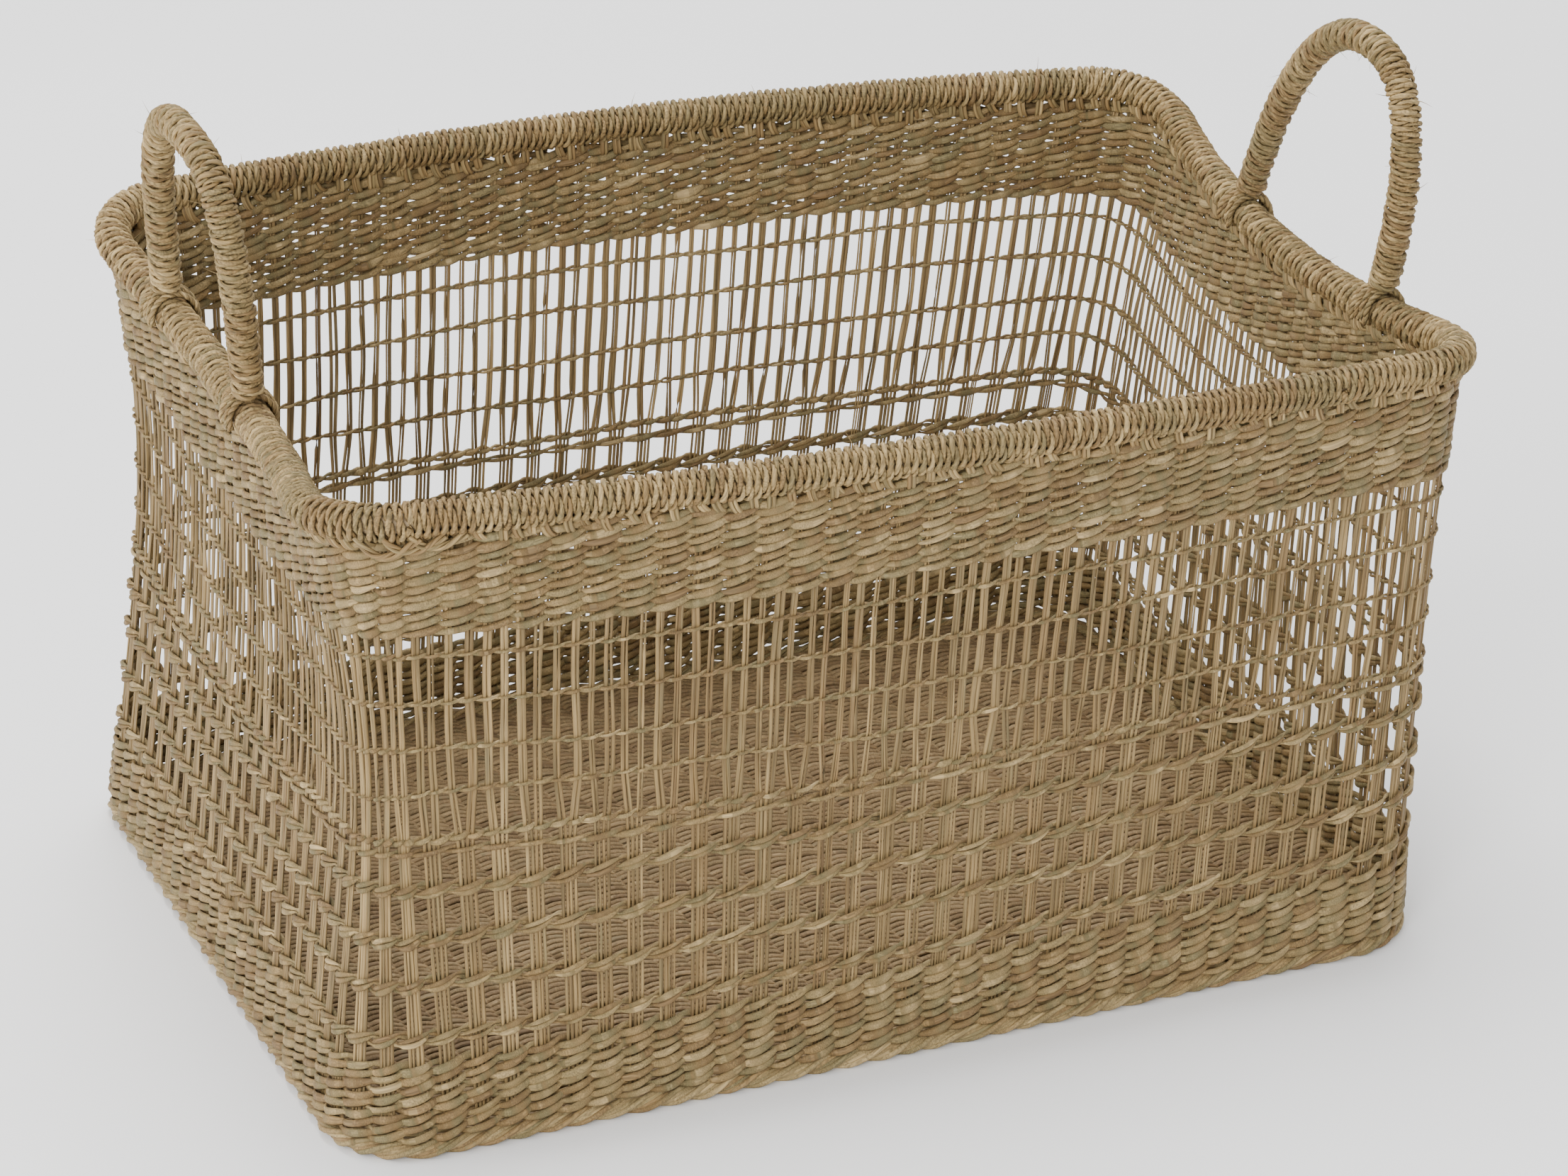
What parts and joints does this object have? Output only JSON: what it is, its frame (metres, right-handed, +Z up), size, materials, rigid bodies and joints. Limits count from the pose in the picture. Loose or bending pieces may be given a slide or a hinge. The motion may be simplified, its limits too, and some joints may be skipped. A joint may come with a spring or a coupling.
{
  "type": "seagrass storage basket",
  "caption": "Rectangular open-weave seagrass basket with a dense twined rim band, braided foot, cord-wrapped rim and two arched wire-cored handles.",
  "frame": {"origin": "centre of the bounding box in plan, on the surface the basket stands on", "axes": "+X along the long side, +Y from the front long wall to the back one, +Z up"},
  "size_m": [0.4557, 0.3264, 0.3289],
  "materials": {
    "stake_grass": "dry flat grass blades with fine lengthwise fibres",
    "weft_grass": "thick loosely twisted grass strands, tan to grey-green",
    "band_grass": "dense twined grass strands with fibre streaks",
    "wrap_cord": "fine two-ply twisted grass cord, closely wrapped",
    "border_braid": "thick twisted grass border",
    "floor_weave": "dense twined grass floor",
    "rattan_core": "plain bent rattan rod",
    "wire": "plain steel wire"
  },
  "bodies": {
    "basket": {"back_left_corner_stakes": "stake_grass", "back_right_corner_stakes": "stake_grass", "back_stakes": "stake_grass", "base_border": "border_braid", "floor_lower_wefts": "floor_weave", "floor_upper_wefts": "floor_weave", "floor_warps": "stake_grass", "foot_band_inner": "weft_grass", "foot_band_outer": "weft_grass", "front_left_corner_stakes": "stake_grass", "front_right_corner_stakes": "stake_grass", "front_stakes": "stake_grass", "left_stakes": "stake_grass", "right_stakes": "stake_grass", "rim_core": "rattan_core", "rim_lacing": "wrap_cord", "rim_wrap": "wrap_cord", "row_a": "weft_grass", "row_b": "weft_grass", "row_c": "weft_grass", "row_d": "weft_grass", "row_e": "weft_grass", "row_f": "weft_grass", "row_g": "weft_grass", "row_h": "weft_grass", "row_i": "weft_grass", "top_band_inner": "band_grass", "top_band_outer": "band_grass"},
    "left_handle": {"left_handle_back_lashing": "wrap_cord", "left_handle_core": "wire", "left_handle_front_lashing": "wrap_cord", "left_handle_wrap": "wrap_cord"},
    "right_handle": {"right_handle_back_lashing": "wrap_cord", "right_handle_core": "wire", "right_handle_front_lashing": "wrap_cord", "right_handle_wrap": "wrap_cord"}
  },
  "joints": [
    {"name": "left_handle_swing", "type": "hinge", "parent": "basket", "child": "left_handle", "pos_m": [-0.20795, 0.02442, 0.22725], "axis": [-0.0311, 0.9946, 0.0991], "range_deg": [-25, 25]},
    {"name": "right_handle_swing", "type": "hinge", "parent": "basket", "child": "right_handle", "pos_m": [0.21395, -0.01324, 0.21556], "axis": [-0.027, 0.9986, 0.0454], "range_deg": [-25, 25]}
  ]
}
